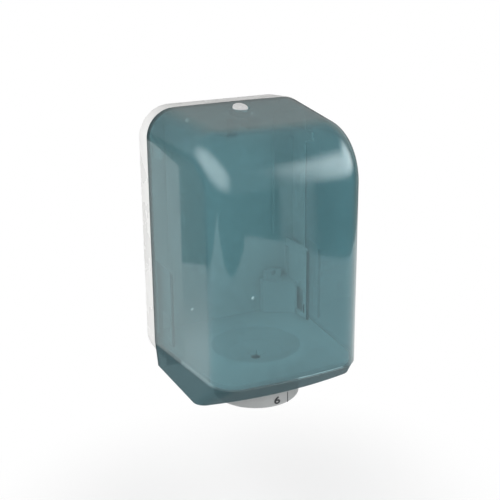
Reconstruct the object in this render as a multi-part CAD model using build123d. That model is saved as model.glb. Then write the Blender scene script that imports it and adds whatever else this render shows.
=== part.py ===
from build123d import *
import math
import os

os.makedirs("parts", exist_ok=True)

# Frame: the wall plane is y = 0 and the front looks towards -Y. Depths are measured
# from the wall, so a point at depth d has y = -d. Lengths are millimetres.

# Overall sizes
cover_depth = 214.5
part_depth = 32.0
cover_half_width = 112.6
plate_reveal = 1.8
plate_half_width = cover_half_width - plate_reveal
plate_top = 165.0
cover_top = 167.0
plate_bottom = -176.0
skirt_bottom = -177.0
crease_height = -143.5
top_slope = 4.0
side_taper = 5.0
outlet_offset = 6.5
outlet_depth = (cover_depth - outlet_offset) / 2
nozzle_radius = 56.0

# Corner radii of the outlines
edge_radius = 37.0
plate_rear_radius = 41.0
plate_bottom_radius = 35.0
front_top_radius = 73.0
front_bow = 6.8
skirt_front_room = 16.5
skirt_front_depth = outlet_depth + nozzle_radius + skirt_front_room
skirt_bow = 13.0
skirt_reveal = 3.3
skirt_half_width = cover_half_width - skirt_reveal
skirt_corner_radius = 16.0
crease_step = 0.3

# Walls and clearances
cover_wall = 2.5
plate_panel = 3.0
rim_wall = 2.5
lip_wall = 1.5
lip_reach = 5.0
lip_root = 8.0
lip_foot_height = -128.0
part_gap = 0.4
seat_gap = 0.3
running_gap = 0.05
screw_gap = 0.1
cut_overrun = 5.0

# Wall fixing holes
wall_hole_radius = 2.75
wall_hole_half_spacing = 46.0
wall_hole_low = -119.5
wall_hole_high = 142.0

# Pads, ribs and tabs on the plate
pad_height = 2.0
pad_half_height = 4.5
channel_height = 9.0
channel_wall = 1.8
channel_top_drop = 12.0
plate_rib_height = 4.0
plate_rib_wall = 1.8
plate_rib_setback = 32.8
plate_rib_half_spacing = plate_half_width - plate_rib_setback
plate_rib_low = -30.0
plate_rib_high = 140.0
guide_tab_wall = 2.0
guide_tab_low = 107.0
guide_tab_high = 122.0
guide_tab_reach = 64.0
guide_tab_tip = 12.0
guide_tab_inset = 6.5

# Hinge of the cover
hinge_depth = 18.0
hinge_height = -163.0
hinge_pin_radius = 2.5
pin_head_radius = 4.2
pin_head_height = 1.5
pin_tail = 1.0
arm_setback = 24.8
arm_inner = plate_half_width - arm_setback
arm_wall = 4.0
arm_radius = 6.5
arm_gap = 0.8
lug_wall = 4.0
arm_web_depth = 54.0
arm_web_wall = 4.0
arm_web_low = -167.0
arm_web_high = -150.0
hinge_slot_depth = 6.0

# Lock in the top of the cover
lock_depth = 66.0
lock_lift = 1.0
lock_tilt = 22.0
lock_boss_radius = 14.5
lock_boss_depth = 7.0
lock_pocket_radius = 11.4
lock_pocket_depth = 2.6
lock_flange_radius = 9.9
lock_flange_height = 2.6
lock_shank_radius = 7.0
lock_shank_length = 15.0
lock_head_radius = 7.6
lock_head_height = 1.6
lock_core_radius = 4.6
lock_nut_radius = 10.0
lock_nut_height = 3.5
key_slot_length = 8.0
key_slot_width = 1.6
key_slot_depth = 1.0
cam_length = 20.0
cam_half_width = 5.0
cam_wall = 2.5
cam_square = 5.0
cam_screw_head_radius = 4.0
cam_screw_head_height = 1.8
cam_screw_radius = 1.5
cam_screw_length = 8.0

# Keeper that the cam hooks behind
keeper_wall = 2.0
keeper_inner = 9.5
keeper_width = 13.0
keeper_arm_drop = 26.0
keeper_arm_height = plate_top - keeper_arm_drop
keeper_foot_height = 24.0
keeper_lip_height = 13.0
keeper_lip_depth = 67.4
keeper_screw_drop = 7.0
keeper_screw_pitch = 11.0

# Shelf that carries the roll
shelf_height = -139.0
shelf_wall = 2.5
shelf_side_room = 6.8
shelf_rear_half_width = plate_half_width - shelf_side_room
shelf_narrowing = 11.5
shelf_front_half_width = shelf_rear_half_width - shelf_narrowing
shelf_straight_depth = 60.0
shelf_front_room = 7.5
shelf_depth = cover_depth - shelf_front_room
shelf_bow = 5.0
shelf_corner_radius = 32.0
shelf_lip_drop = 6.0
shelf_lip_wall = 2.0
shelf_flange_depth = 10.0
shelf_flange_wall = 2.5
shelf_flange_setback = 26.0
shelf_flange_half_width = shelf_rear_half_width - shelf_flange_setback
shelf_flange_drop = 20.0
shelf_screw_margin = 10.0
shelf_screw_outer = shelf_flange_half_width - shelf_screw_margin
shelf_screw_inner = 30.0
shelf_screw_drop = 12.0
shelf_rib_count = 12
shelf_rib_wall = 1.8
shelf_rib_drop = 5.0

# Dish in the shelf, about the outlet axis, and the bowl that drops into it
dish_rim_room = 2.0
dish_radius = nozzle_radius + dish_rim_room
dish_slope_width = 23.0
dish_low_radius = dish_radius - dish_slope_width
dish_drop = 9.6
ledge_width = 4.0
ledge_radius = dish_low_radius - ledge_width
ledge_drop = 2.2
ledge_wall = 2.4
bowl_wall = 2.0
bowl_hole_radius = 6.5
bowl_drop = 6.5
bowl_belly_share = 0.62
bowl_slit_count = 6
bowl_slit_width = 1.2
bowl_slit_reach = 15.0

# Socket under the shelf and the nozzle that turns on it
socket_room = 8.0
socket_radius = nozzle_radius - socket_room
socket_wall = 2.5
socket_drop = 32.0
shoulder_step = 2.2
shoulder_radius = socket_radius + shoulder_step
shoulder_low = 13.0
hub_length = 15.5
nozzle_wall = 3.0
nozzle_bottom = -204.2
nozzle_top_gap = 3.0
nozzle_edge_bevel = 1.2
throat_radius = 16.0
throat_height = 22.0
throat_rim = 5.5
trumpet_wall = 2.2
index_width = 0.9
index_depth = 0.6
index_angle = -52.0
index_top = 8.0
index_low = 4.0
ring_groove_depth = 1.2
ring_wall = 1.6
ring_reach = 2.6
ring_radius = socket_radius + ring_reach
ring_gap_angle = 14.0
nozzle_travel = 60.0
stop_angle = 100.0
stop_rest_gap = 1.0
stop_high = 5.0
stop_wall = 3.0
stop_lug_wall = 5.0
stop_clearance = 0.6
tear_ring_wall = 1.8
tear_ring_height = 5.0
tooth_count = 18
tooth_reach = 3.2
tooth_share = 0.36

# Side guides and the corner block beside the roll
guide_setback = 13.3
guide_inner = plate_half_width - guide_setback
guide_wall = 2.5
guide_depth = 66.0
guide_top = -37.0
guide_corner_radius = 9.0
guide_peg_depth = 45.0
guide_peg_height = -91.0
guide_peg_radius = 4.2
guide_peg_bore = 2.2
guide_peg_length = 6.5
guide_window_length = 26.0
guide_window_height = 34.0
guide_window_drop = 8.0
guide_window_radius = 3.0
guide_tail_front = 52.0
guide_tail_length = 18.0
guide_tail_drop = 5.0
block_guide_gap = 0.7
block_outer = guide_inner - block_guide_gap
block_width = 40.3
block_inner = block_outer - block_width
block_near_depth = 14.0
block_far_depth = 36.0
block_high = 48.0
block_wall = 2.4
block_crest_step = 5.0
block_crest_width = 24.0
block_crest_inner = block_inner + block_crest_step
block_crest_outer = block_crest_inner + block_crest_width
block_crest_depth = 12.0
block_crest_high = 12.0
block_slope_drop = 5.0
block_edge_round = 1.5
block_screw_place = (block_crest_inner + block_crest_outer) / 2
block_screw_rise = 8.0

# Screws
small_screw_radius = 1.6
small_screw_head_radius = 3.2
small_screw_head_height = 1.6
small_screw_length = 8.0


def along(depth):
    """Plane parallel to the wall at the given depth, local x = X and local y = Z."""
    return Plane.XZ.offset(depth)


def taper_rise(depth):
    return math.tan(math.radians(side_taper)) * (depth - part_depth)


def half_width(depth):
    """Half width of the outside at a depth: the rim flares, the cover tapers."""
    if depth < part_depth:
        return plate_half_width + (cover_half_width - plate_half_width) * depth / part_depth
    return cover_half_width - taper_rise(depth)


def top_height(depth):
    """Height of the outside along the centre line of the top."""
    if depth < part_depth:
        return plate_top + (cover_top - plate_top) * depth / part_depth
    return cover_top - math.tan(math.radians(top_slope)) * (depth - part_depth)


def outline(depth, inset):
    """Rounded outline of the housing on a plane parallel to the wall."""
    low = plate_bottom + inset
    high = top_height(depth) - inset
    share = min(depth / part_depth, 1.0)
    top_radius = plate_rear_radius + (edge_radius - plate_rear_radius) * share - inset
    width = half_width(depth) - inset
    face = Pos(0, (low + high) / 2) * Rectangle(2 * width, high - low)
    face = fillet(face.vertices().group_by(Axis.Y)[-1], top_radius)
    face = fillet(face.vertices().group_by(Axis.Y)[0], plate_bottom_radius - inset)
    return along(depth) * face


def tube(outer, inner, low, high):
    """Ring about Z between two heights."""
    return disc(outer, low, high) - disc(inner, low, high)


def disc(radius, low, high):
    """Cylinder about Z between two heights."""
    return Pos(0, 0, (low + high) / 2) * Cylinder(radius, high - low)


def box_between(x0, x1, d0, d1, z0, z1):
    """Box from two x places, two depths and two heights."""
    return Pos((x0 + x1) / 2, -(d0 + d1) / 2, (z0 + z1) / 2) * Box(
        abs(x1 - x0), abs(d1 - d0), abs(z1 - z0))


def rod_x(radius, x0, x1, depth, height):
    """Cylinder along X."""
    place = Pos((x0 + x1) / 2, -depth, height) * Rot(0, 90, 0)
    return place * Cylinder(radius, abs(x1 - x0))


def rod_y(radius, depth0, depth1, x, height):
    """Cylinder along Y between two depths."""
    place = Pos(x, -(depth0 + depth1) / 2, height) * Rot(90, 0, 0)
    return place * Cylinder(radius, abs(depth1 - depth0))


def mirrored(part):
    return mirror(part, Plane.YZ)


def wall_screw(x, head_depth, height, length=small_screw_length):
    """Hexagon-head screw: its head seats at head_depth, its shank runs to the wall."""
    hexagon = Pos(x, height) * RegularPolygon(small_screw_head_radius, 6)
    head = extrude(along(head_depth) * hexagon, small_screw_head_height)
    return head + rod_y(small_screw_radius, head_depth - length, head_depth, x, height)


def screw_hole(x, depth0, depth1, height):
    return rod_y(small_screw_radius + screw_gap, depth0, depth1, x, height)


# Places of the screws, shared by the screws and the holes they pass through
shelf_screw_height = shelf_height - shelf_wall - shelf_screw_drop
shelf_screw_xs = [side * place for side in (-1, 1)
                  for place in (shelf_screw_inner, shelf_screw_outer)]
keeper_screw_x = keeper_inner + keeper_width / 2
keeper_screw_heights = [keeper_arm_height - keeper_screw_drop - step * keeper_screw_pitch
                        for step in (0, 1)]
block_floor = shelf_height + seat_gap
block_screw_height = block_floor + block_high + block_screw_rise
blind_depth = plate_panel / 2


def screw_pads():
    """Raised pads on the plate under each screwed piece, and their blind holes."""
    seat = plate_panel + pad_height
    pads = [
        box_between(-shelf_flange_half_width, shelf_flange_half_width, blind_depth,
                    shelf_flange_depth, shelf_screw_height - pad_half_height,
                    shelf_screw_height + pad_half_height),
        box_between(keeper_inner, keeper_inner + keeper_width, blind_depth, seat,
                    keeper_arm_height - keeper_foot_height, keeper_arm_height),
        box_between(block_screw_place - pad_half_height, block_screw_place + pad_half_height,
                    blind_depth, seat, block_screw_height - pad_half_height,
                    block_screw_height + pad_half_height)]
    holes = [screw_hole(x, blind_depth, shelf_flange_depth + cut_overrun, shelf_screw_height)
             for x in shelf_screw_xs]
    holes += [screw_hole(keeper_screw_x, blind_depth, seat + cut_overrun, height)
              for height in keeper_screw_heights]
    holes.append(screw_hole(block_screw_place, blind_depth, seat + cut_overrun,
                            block_screw_height))
    return pads, holes


def guide_channel():
    """Pair of ribs on the plate that grip the rear edge of the right side guide."""
    near = guide_inner - seat_gap
    far = guide_inner + guide_wall + seat_gap
    low = block_floor + block_high + seat_gap
    high = guide_top - channel_top_drop
    return [box_between(x, x + channel_wall, blind_depth, plate_panel + channel_height, low, high)
            for x in (near - channel_wall, far)]


def hinge_lug(x0, x1):
    """Ear of the plate that holds one end of a hinge pin."""
    ear = box_between(x0, x1, plate_panel / 2, hinge_depth, hinge_height - arm_radius,
                      hinge_height + arm_radius)
    return ear + rod_x(arm_radius, x0, x1, hinge_depth, hinge_height)


def hinge_lugs():
    outer0 = arm_inner + arm_wall + arm_gap
    inner1 = arm_inner - arm_gap
    lugs = hinge_lug(inner1 - lug_wall, inner1) + hinge_lug(outer0, outer0 + lug_wall)
    bore = rod_x(hinge_pin_radius + running_gap, inner1 - lug_wall - cut_overrun,
                 outer0 + lug_wall + cut_overrun, hinge_depth, hinge_height)
    return lugs, bore


def guide_tab():
    """Tongue inside the rim that steers the closing cover, left side."""
    outer = half_width(part_depth) - guide_tab_inset
    mid_depth = part_depth + (guide_tab_reach - part_depth) / 2
    tip_low = guide_tab_low + guide_tab_tip / 4
    plan = Polyline((-rim_wall, guide_tab_low), (-part_depth, guide_tab_low),
                    (-mid_depth, guide_tab_low), (-guide_tab_reach, tip_low),
                    (-guide_tab_reach + guide_tab_tip / 4, guide_tab_high),
                    (-rim_wall, guide_tab_high), close=True)
    tab = extrude(Plane.YZ * make_face(plan), guide_tab_wall)
    return Pos(-outer, 0, 0) * tab


def back_plate():
    shell = loft([outline(0, 0), outline(part_depth, 0)], ruled=True)
    hollow = loft([outline(plate_panel, rim_wall), outline(part_depth, rim_wall)], ruled=True)
    mouth = extrude(outline(part_depth, rim_wall), cut_overrun)
    plate = shell - hollow - mouth
    lip_end = part_depth + lip_reach
    lip_inset = cover_wall + part_gap
    room = outline(lip_end, lip_inset + lip_wall)
    root = extrude(outline(part_depth, rim_wall / 2), -lip_root)
    root = root - extrude(room, -lip_reach - lip_root - cut_overrun)
    lip = extrude(outline(lip_end, lip_inset), -lip_reach) - extrude(room, -lip_reach)
    below = box_between(-cover_half_width, cover_half_width, 0, lip_end + cut_overrun,
                        skirt_bottom - cut_overrun, lip_foot_height)
    plate = plate + (root - below) + (lip - below)
    pads, holes = screw_pads()
    for pad in pads:
        plate = plate + pad
    for rib in guide_channel():
        plate = plate + rib + mirrored(rib)
    for height in (wall_hole_low, wall_hole_high):
        for x in (-wall_hole_half_spacing, wall_hole_half_spacing):
            holes.append(rod_y(wall_hole_radius, -cut_overrun, plate_panel + cut_overrun,
                               x, height))
    for x in (-plate_rib_half_spacing, plate_rib_half_spacing):
        plate = plate + box_between(x - plate_rib_wall / 2, x + plate_rib_wall / 2,
                                    plate_panel / 2, plate_panel + plate_rib_height,
                                    plate_rib_low, plate_rib_high)
    lugs, bore = hinge_lugs()
    slot = box_between(arm_inner - arm_gap, arm_inner + arm_wall + arm_gap, hinge_slot_depth,
                       part_depth + cut_overrun, plate_bottom - cut_overrun,
                       hinge_height - arm_radius + arm_gap)
    tab = guide_tab()
    plate = plate + lugs + mirrored(lugs) + tab + mirrored(tab)
    plate = plate - bore - mirrored(bore) - slot - mirrored(slot)
    for hole in holes:
        plate = plate - hole
    return plate


def bowed_plan(rear, front, crown, bow, corner_radius):
    """Plan from the rim forward: straight sides, a bowed front and round front corners."""
    shoulder = crown - bow
    sides = Polyline((-front, -shoulder), (-rear, -part_depth), (rear, -part_depth),
                     (front, -shoulder))
    nose = ThreePointArc((front, -shoulder), (0, -crown), (-front, -shoulder))
    face = make_face(sides + nose)
    return fillet(face.vertices().group_by(Axis.Y)[0], corner_radius)


def cover_block(inset, rear_depth):
    """Upper body of the cover, solid, from the crease up.

    The side profile turns about the upright axis of the bowed front, so that front and
    brow are round in plan, and the flat tapered sides are cut from it.
    """
    front_half = half_width(part_depth) - taper_rise(cover_depth)
    bow_radius = (front_half ** 2 + front_bow ** 2) / (2 * front_bow)
    axis = Axis((0, bow_radius - cover_depth, 0), (0, 0, 1))
    slope = math.tan(math.radians(top_slope))
    roof = top_height(part_depth) - inset
    near = rear_depth - cut_overrun
    far = cover_depth - inset
    profile = make_face(Polyline(
        (-near, crease_height), (-far, crease_height),
        (-far, roof - slope * (far - part_depth)),
        (-near, roof - slope * (near - part_depth)), close=True))
    brow = profile.vertices().group_by(Axis.Y)[-2][0]
    profile = Plane.YZ * fillet(brow, front_top_radius - inset)
    swing = math.degrees(math.asin(cover_half_width / (bow_radius - cover_depth)))
    body = revolve(profile.rotate(axis, -swing), axis, 2 * swing)
    beyond = cover_depth + cut_overrun
    rear = half_width(part_depth) - taper_rise(rear_depth) - inset
    front = half_width(part_depth) - taper_rise(beyond) - inset
    sides = make_face(Polyline((-rear, -rear_depth), (rear, -rear_depth), (front, -beyond),
                               (-front, -beyond), close=True))
    high = cover_top + cut_overrun
    body = body & (Pos(0, 0, crease_height) * extrude(sides, high - crease_height))
    chain = [edge for edge in body.edges() if on_flank(edge, inset, rear_depth)]
    return fillet(chain, edge_radius - inset)


def on_flank(edge, inset, rear_depth):
    """True for the edges that run round the front and top of each flat side."""
    middle = edge @ 0.5
    depth = -middle.Y
    side = half_width(part_depth) - taper_rise(depth) - inset
    tolerance = side_taper / 10
    beside = abs(abs(middle.X) - side) < tolerance
    low = middle.Z < crease_height + tolerance
    behind = depth < rear_depth + tolerance
    return beside and not low and not behind


def cover_skirt(inset):
    """Skirt below the crease, solid: its front slants back and its sides stay wide."""
    high = inset + crease_step
    upper = bowed_plan(half_width(part_depth) - high, half_width(cover_depth) - high,
                       cover_depth - high, front_bow, edge_radius - high)
    side = skirt_half_width - inset
    lower = bowed_plan(side, side, skirt_front_depth - inset, skirt_bow,
                       skirt_corner_radius - inset)
    return loft([Pos(0, 0, crease_height) * upper, Pos(0, 0, skirt_bottom) * lower], ruled=True)


def lock_plane():
    """Plane of the lock's face: its normal leans forward by the tilt."""
    lean = math.radians(lock_tilt)
    face = (0, -lock_depth, top_height(lock_depth) + lock_lift)
    return Plane(origin=face, x_dir=(1, 0, 0), z_dir=(0, -math.sin(lean), math.cos(lean)))


def lock_rod(radius, low, high):
    """Cylinder on the lock's axis, heights along that axis from the face."""
    return lock_plane() * (Pos(0, 0, (low + high) / 2) * Cylinder(radius, high - low))


def hinge_arm():
    """Arm of the cover that reaches back to the right hinge pin."""
    end = arm_inner + arm_wall
    arm = box_between(arm_inner, end, hinge_depth, arm_web_depth + arm_web_wall,
                      hinge_height - arm_radius, hinge_height + arm_radius)
    arm = arm + rod_x(arm_radius, arm_inner, end, hinge_depth, hinge_height)
    side = half_width(arm_web_depth + arm_web_wall) - cover_wall / 2
    arm = arm + box_between(arm_inner, side, arm_web_depth, arm_web_depth + arm_web_wall,
                            arm_web_low, arm_web_high)
    return arm - rod_x(hinge_pin_radius + running_gap, arm_inner - cut_overrun,
                       end + cut_overrun, hinge_depth, hinge_height)


def cover():
    outer = cover_block(0, part_depth + part_gap) + (
        cover_skirt(0) - box_between(-cover_half_width, cover_half_width, 0,
                                     part_depth + part_gap, skirt_bottom - cut_overrun,
                                     crease_height + cut_overrun))
    inner = cover_block(cover_wall, part_depth) + cover_skirt(cover_wall)
    shell = outer - inner
    boss = lock_rod(lock_boss_radius, -lock_boss_depth, lock_boss_depth) & outer
    shell = shell + boss
    shell = shell - lock_rod(lock_pocket_radius, -lock_pocket_depth, lock_boss_depth * 2)
    shell = shell - lock_rod(lock_shank_radius + screw_gap, -lock_boss_depth - cut_overrun, 0)
    arm = hinge_arm()
    return shell + arm + mirrored(arm)


def lock_housing():
    body = lock_rod(lock_flange_radius, -lock_flange_height, 0)
    rim = body.edges().filter_by(GeomType.CIRCLE).sort_by(Axis.Z)[-1]
    body = chamfer(rim, lock_flange_height / 4)
    body = body + lock_rod(lock_shank_radius, -lock_shank_length, -lock_flange_height)
    body = body - lock_rod(lock_head_radius + running_gap, -lock_head_height, lock_boss_depth)
    return body - lock_rod(lock_core_radius + running_gap, -lock_shank_length - cut_overrun, 0)


def lock_barrel():
    """Key core: a flush head, a round body and a square end for the cam."""
    core = lock_rod(lock_head_radius, -lock_head_height, 0)
    core = core + lock_rod(lock_core_radius, -lock_shank_length, -lock_head_height)
    square_low = -lock_shank_length - seat_gap - cam_wall
    square = Pos(0, 0, (square_low - lock_shank_length) / 2) * Box(
        cam_square, cam_square, -lock_shank_length - square_low)
    core = core + lock_plane() * square
    slot = Pos(0, 0, -key_slot_depth / 2) * Box(key_slot_length, key_slot_width, key_slot_depth)
    core = core - lock_plane() * slot
    bore_low = square_low - cut_overrun
    bore = lock_rod(cam_screw_radius + screw_gap, bore_low, square_low + cam_screw_length)
    return core - bore


def cam_heights():
    high = -lock_shank_length - seat_gap
    return high - cam_wall, high


def lock_cam():
    """Flat cam, pointing back at the wall while the lock is open."""
    low, high = cam_heights()
    blade = Rectangle(2 * cam_half_width, cam_length, align=(Align.CENTER, Align.MIN))
    blade = fillet(blade.vertices().group_by(Axis.Y)[-1], cam_half_width / 2)
    flat = blade + Circle(cam_half_width) - Rectangle(cam_square + 2 * running_gap,
                                                      cam_square + 2 * running_gap)
    return lock_plane() * (Pos(0, 0, low) * extrude(flat, high - low))


def cam_screw():
    low, _ = cam_heights()
    head = lock_rod(cam_screw_head_radius, low - cam_screw_head_height, low)
    return head + lock_rod(cam_screw_radius, low, low + cam_screw_length - seat_gap)


def lock_nut():
    """Hexagon nut that clamps the housing to the boss from inside."""
    high = -lock_boss_depth
    ring = RegularPolygon(lock_nut_radius, 6) - Circle(lock_shank_radius + screw_gap)
    return lock_plane() * (Pos(0, 0, high - lock_nut_height) * extrude(ring, lock_nut_height))


def latch_keeper():
    """Bent strip: foot on the plate, arm forward, lip up in front of the cam."""
    seat = plate_panel + pad_height
    arm_low = keeper_arm_height - keeper_wall
    path = Polyline(
        (-seat, keeper_arm_height), (-keeper_lip_depth, keeper_arm_height),
        (-keeper_lip_depth, keeper_arm_height + keeper_lip_height),
        (-keeper_lip_depth - keeper_wall, keeper_arm_height + keeper_lip_height),
        (-keeper_lip_depth - keeper_wall, arm_low), (-seat - keeper_wall, arm_low),
        (-seat - keeper_wall, keeper_arm_height - keeper_foot_height),
        (-seat, keeper_arm_height - keeper_foot_height), close=True)
    strip = extrude(Plane.YZ * make_face(path), keeper_width)
    strip = Pos(keeper_inner, 0, 0) * strip
    for height in keeper_screw_heights:
        strip = strip - screw_hole(keeper_screw_x, seat - cut_overrun, seat + cut_overrun,
                                   height)
    return strip


def hinge_pin():
    """Right pin: its head seats on the inner lug, its tail shows past the outer one."""
    start = arm_inner - arm_gap - lug_wall
    end = arm_inner + arm_wall + arm_gap + lug_wall
    pin = rod_x(hinge_pin_radius, start, end + pin_tail, hinge_depth, hinge_height)
    return pin + rod_x(pin_head_radius, start - pin_head_height, start, hinge_depth,
                       hinge_height)


def about_outlet(part):
    return Pos(0, -outlet_depth, 0) * part


def shelf_plan(inset):
    """Plan of the shelf, with straight rear sides, tapered flanks and a bowed front."""
    rear = plate_panel + seat_gap
    shoulder = shelf_depth - shelf_bow - inset
    left = [(inset - shelf_front_half_width, -shoulder),
            (inset - shelf_rear_half_width, -shelf_straight_depth),
            (inset - shelf_rear_half_width, -rear)]
    right = [(-x, y) for x, y in reversed(left)]
    nose = ThreePointArc(right[-1], (0, inset - shelf_depth), left[0])
    face = make_face(Polyline(*left, *right) + nose)
    return fillet(face.vertices().group_by(Axis.Y)[0], shelf_corner_radius - inset)


def turned(points):
    """Solid of revolution about the outlet axis from radius and height pairs."""
    return about_outlet(revolve(Plane.XZ * make_face(Polyline(*points, close=True)), Axis.Z))


dish_low = shelf_height - dish_drop
ledge_top = dish_low - ledge_drop
socket_low = shelf_height - socket_drop
shoulder_height = shelf_height - shoulder_low
hub_top = shoulder_height - seat_gap
hub_low = hub_top - hub_length
nozzle_top = shelf_height - shelf_wall - dish_drop * (
    dish_radius - nozzle_radius) / (dish_radius - dish_low_radius) - nozzle_top_gap
ring_top = hub_low - seat_gap
throat_top = nozzle_bottom + throat_height


def shelf_ribs():
    """Radial ribs from the socket to the lip, under the shelf."""
    under = shelf_height - shelf_wall
    bars = []
    for step in range(shelf_rib_count):
        turn = 360 / shelf_rib_count * (step + 0.5)
        bar = Pos(shelf_depth / 2 + socket_radius - socket_wall / 2, 0,
                  under - shelf_rib_drop / 2) * Box(shelf_depth, shelf_rib_wall, shelf_rib_drop)
        bars.append(about_outlet(Rot(0, 0, turn) * bar))
    room = Pos(0, 0, under - shelf_rib_drop - cut_overrun) * extrude(
        shelf_plan(shelf_lip_wall / 2), shelf_rib_drop + cut_overrun)
    clear = about_outlet(disc(nozzle_radius + nozzle_top_gap, nozzle_bottom, under))
    return [(bar & room) - clear for bar in bars]


def outlet_block(near, far, wall, low, high, turn):
    """Small block at an angle about the outlet axis, from one radius to another."""
    block = Pos((near + far) / 2, 0, (low + high) / 2) * Box(far - near, wall, high - low)
    return about_outlet(Rot(0, 0, turn) * block)


def stop_step():
    """Angle between the nozzle's lug and a stop when the two all but touch."""
    reach = (stop_lug_wall + stop_wall) / 2 / shoulder_radius
    return math.degrees(reach) + stop_rest_gap


def nozzle_stops():
    """Two ribs on the socket's shoulder that end the turn of the nozzle."""
    far = nozzle_radius - nozzle_wall - stop_clearance
    return [outlet_block(socket_radius, far, stop_wall, shoulder_height,
                         shoulder_height + stop_high, stop_angle + turn)
            for turn in (-stop_step(), nozzle_travel + stop_step())]


def tail_slot():
    """Slot in the shelf for the tail of the right side guide."""
    return box_between(guide_inner - seat_gap, guide_inner + guide_wall + seat_gap,
                       guide_tail_front - guide_tail_length - seat_gap,
                       guide_tail_front + seat_gap, shelf_height - shelf_wall - cut_overrun,
                       shelf_height + cut_overrun)


def roll_shelf():
    """Tray with a dished outlet, a stiffening lip, ribs, a screw flange and a socket."""
    under = shelf_height - shelf_wall
    tray = Pos(0, 0, under) * extrude(shelf_plan(0), shelf_wall)
    lip = Pos(0, 0, shelf_height - shelf_lip_drop) * extrude(
        shelf_plan(0) - shelf_plan(shelf_lip_wall), shelf_lip_drop)
    tray = tray + lip
    tray = tray - about_outlet(disc(dish_radius, under - cut_overrun,
                                    shelf_height + cut_overrun))
    for rib in shelf_ribs():
        tray = tray + rib
    tray = tray + turned([
        (dish_radius + shelf_wall, shelf_height), (dish_radius, shelf_height),
        (dish_low_radius, dish_low), (dish_low_radius, ledge_top),
        (ledge_radius, ledge_top), (ledge_radius, ledge_top - ledge_wall),
        (dish_low_radius + shelf_wall, ledge_top - ledge_wall),
        (dish_low_radius + shelf_wall, dish_low - shelf_wall / 2),
        (dish_radius + shelf_wall / 2, under), (dish_radius + shelf_wall, under)])
    socket_top = dish_low + shelf_wall
    tray = tray + turned([
        (socket_radius, socket_top), (socket_radius - socket_wall, socket_top),
        (socket_radius - socket_wall, socket_low), (socket_radius, socket_low),
        (socket_radius, ring_top - ring_wall - running_gap),
        (socket_radius - ring_groove_depth, ring_top - ring_wall - running_gap),
        (socket_radius - ring_groove_depth, ring_top + running_gap),
        (socket_radius, ring_top + running_gap), (socket_radius, shoulder_height),
        (shoulder_radius, shoulder_height), (shoulder_radius, socket_top)])
    flange = box_between(-shelf_flange_half_width, shelf_flange_half_width, shelf_flange_depth,
                         shelf_flange_depth + shelf_flange_wall, under - shelf_flange_drop,
                         under)
    tray = tray + flange
    for stop in nozzle_stops():
        tray = tray + stop
    for x in shelf_screw_xs:
        tray = tray - screw_hole(x, shelf_flange_depth - cut_overrun,
                                 shelf_flange_depth + cut_overrun, shelf_screw_height)
    return tray - tail_slot() - mirrored(tail_slot())


def outlet_bowl():
    """Shallow bowl with a star-slit hole that lets the paper twist through."""
    rim = dish_low_radius - seat_gap
    low = ledge_top - bowl_drop
    collar = ledge_radius - seat_gap
    middle = (rim + bowl_hole_radius) / 2
    belly = ledge_top - bowl_drop * bowl_belly_share
    bowl = turned([
        (rim, ledge_top + bowl_wall), (middle, belly + bowl_wall), (bowl_hole_radius, low),
        (bowl_hole_radius, low - bowl_wall), (middle, belly - bowl_wall / 4),
        (collar, ledge_top), (rim, ledge_top)])
    for step in range(bowl_slit_count):
        slit = Pos(bowl_slit_reach / 2, 0, low) * Box(bowl_slit_reach, bowl_slit_width,
                                                      4 * bowl_drop)
        bowl = bowl - about_outlet(Rot(0, 0, 360 / bowl_slit_count * step) * slit)
    return bowl


def nozzle_collar():
    """Skirt that turns on the socket, with a hub, a stop lug and a trumpet at the mouth."""
    inner = nozzle_radius - nozzle_wall
    hub = socket_radius + running_gap
    skirt = turned([
        (nozzle_radius, nozzle_top), (inner, nozzle_top), (inner, hub_top), (hub, hub_top),
        (hub, hub_low), (inner, hub_low), (inner, nozzle_bottom + throat_rim),
        (throat_radius + trumpet_wall, throat_top), (throat_radius, throat_top),
        (throat_radius, throat_top - throat_rim), (inner - throat_rim, nozzle_bottom),
        (nozzle_radius, nozzle_bottom)])
    rims = [edge for edge in skirt.edges().filter_by(GeomType.CIRCLE)
            if abs(edge.radius - nozzle_radius) < running_gap]
    skirt = chamfer(rims, nozzle_edge_bevel)
    mark = Pos(nozzle_radius, 0, (nozzle_top - index_top + nozzle_bottom + index_low) / 2) * Box(
        2 * index_depth, index_width, nozzle_top - index_top - nozzle_bottom - index_low)
    lug = outlet_block(shoulder_radius + stop_clearance, nozzle_radius - nozzle_wall / 2,
                       stop_lug_wall, hub_top - stop_wall, hub_top + stop_high, stop_angle)
    return skirt + lug - about_outlet(Rot(0, 0, index_angle) * mark)


def nozzle_retaining_ring():
    """Split ring in the socket's groove, under the hub."""
    ring = tube(ring_radius, socket_radius - ring_groove_depth + running_gap,
                ring_top - ring_wall, ring_top)
    reach = 2 * ring_radius
    half_gap = math.radians(ring_gap_angle / 2)
    wedge = make_face(Polyline((0, 0), (reach * math.cos(half_gap), reach * math.sin(half_gap)),
                               (reach * math.cos(half_gap), -reach * math.sin(half_gap)),
                               close=True))
    gap = Pos(0, 0, ring_top - ring_wall - cut_overrun) * extrude(
        wedge, ring_wall + 2 * cut_overrun)
    return about_outlet(ring - gap)


def tear_ring():
    """Toothed ring in the throat that parts the sheet."""
    outer = throat_radius - running_gap
    inner = outer - tear_ring_wall
    points = []
    for step in range(tooth_count):
        pitch = 360 / tooth_count
        for share, radius in ((-tooth_share, inner), (0, inner - tooth_reach),
                              (tooth_share, inner)):
            angle = math.radians(pitch * (step + share))
            points.append((radius * math.cos(angle), radius * math.sin(angle)))
    star = make_face(Polyline(*points, close=True))
    low = throat_top - tear_ring_height
    return about_outlet(Pos(0, 0, low) * extrude(Circle(outer) - star, tear_ring_height))


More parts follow.
